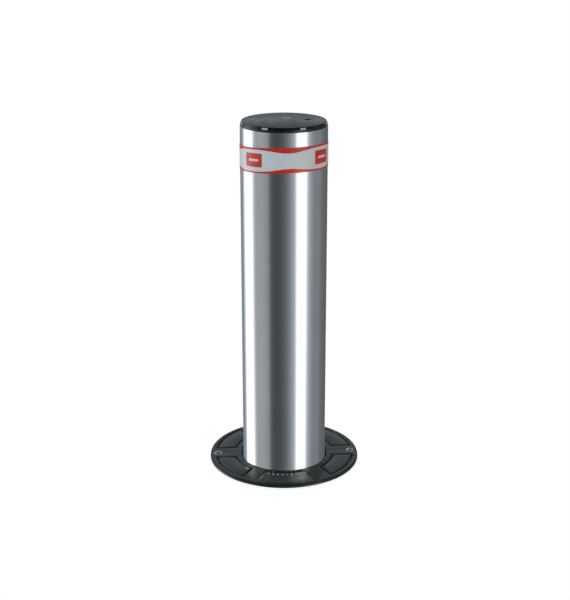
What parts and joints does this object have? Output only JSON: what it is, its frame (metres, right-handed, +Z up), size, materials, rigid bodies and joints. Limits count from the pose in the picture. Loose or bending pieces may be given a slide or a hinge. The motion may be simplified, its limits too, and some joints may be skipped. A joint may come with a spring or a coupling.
{
  "type": "retractable bollard",
  "caption": "Retractable driveway bollard: brushed steel tube with a light-ring cap and reflective band, rising by a motor-driven screw from a cast cover and foundation casing.",
  "frame": {"origin": "on the bollard's axis at finished ground level: the top of the casing's flange, under the cast cover", "axes": "+Z up along the bollard, -Y towards the front, +X to the right seen from the front"},
  "size_m": [0.2261, 0.2222, 1.3044],
  "materials": {
    "stainless_tube": "brushed around the tube, satin",
    "cap_black": "moulded glass-filled nylon, satin",
    "window_clear": "frosted polycarbonate",
    "band": "red and white retroreflective film",
    "cover_black": "cast, black gloss paint",
    "zinc_screw": "bright zinc",
    "galvanised": "hot-dip galvanised, spangled",
    "black_rubber": "moulded, matt",
    "natural_nylon": "cast nylon, matt",
    "cast_aluminium": "cast, machined faces",
    "bronze": "machined bronze",
    "steel_machined": "ground steel",
    "board_green": "solder mask",
    "lock_brass": "nickel-plated brass",
    "black_plastic": "moulded",
    "coil_copper": "enamelled copper",
    "core_steel": "stacked laminations",
    "magnet_dark": "nickel-plated magnet",
    "spider_red": "polyurethane",
    "painted_case": "powder coat"
  },
  "bodies": {
    "casing": {"ground_cover": "cover_black", "cover_screws": "zinc_screw", "casing_flange": "galvanised", "casing_tube": "galvanised", "base_plate": "galvanised", "anchor_lugs": "galvanised", "drain_stub": "galvanised", "conduit_stub": "galvanised", "guide_collar": "cast_aluminium", "guide_bush": "natural_nylon", "wiper_seal": "black_rubber", "collar_ledge": "galvanised", "upper_buffer": "black_rubber", "guide_rails": "steel_machined", "sensor_rail": "cast_aluminium", "limit_sensors": "black_plastic", "bearing_outer_rings": "steel_machined", "bearing_housing": "cast_aluminium", "bearing_retainer": "steel_machined", "lower_buffer": "black_rubber", "drive_pillar": "cast_aluminium", "pillar_screws": "zinc_screw", "cable_gland": "black_plastic", "motor_front_bell": "cast_aluminium", "motor_rear_bell": "cast_aluminium", "motor_case": "painted_case", "motor_bearings": "steel_machined", "m4_screws": "zinc_screw", "stator_core": "core_steel", "stator_coils": "coil_copper"},
    "bollard": {"bollard_tube": "stainless_tube", "head_cap": "cap_black", "cap_o_ring": "black_rubber", "cap_screws": "steel_machined", "head_plate": "stainless_tube", "led_windows": "window_clear", "led_board": "board_green", "lock_body": "lock_brass", "lock_nut": "lock_brass", "key_switch": "black_plastic", "reflective_band": "band", "lower_guide_ring": "natural_nylon", "position_magnet": "magnet_dark", "skirt_screws": "zinc_screw", "nut_carrier": "cast_aluminium", "drive_nut": "bronze", "nut_screws": "zinc_screw"},
    "screw": {"drive_screw": "steel_machined", "steady_disc": "natural_nylon", "steady_nut": "zinc_screw", "bearing_inner_rings": "steel_machined", "screw_lock_ring": "steel_machined", "coupling_upper": "cast_aluminium", "coupling_lower": "cast_aluminium", "coupling_spider": "spider_red", "rotor": "steel_machined", "rotor_magnets": "magnet_dark"},
    "release_lock": {"lock_barrel": "lock_brass", "lock_cam": "steel_machined"}
  },
  "joints": [
    {"name": "bollard_slide", "type": "slide", "parent": "casing", "child": "bollard", "axis": [0, 0, 1], "range_m": [-0.473, 0]},
    {"name": "screw_spin", "type": "hinge", "parent": "casing", "child": "screw", "pos_m": [0, 0, -0.6184], "axis": [0, 0, 1], "continuous": true},
    {"name": "lock_turn", "type": "hinge", "parent": "bollard", "child": "release_lock", "pos_m": [0.031, 0.002, 0.474], "axis": [0, 0, 1], "range_deg": [0, 90]}
  ],
  "couplings": [
    {"joint": "screw_spin", "follows": "bollard_slide", "rad_per_m": -628.32}
  ]
}
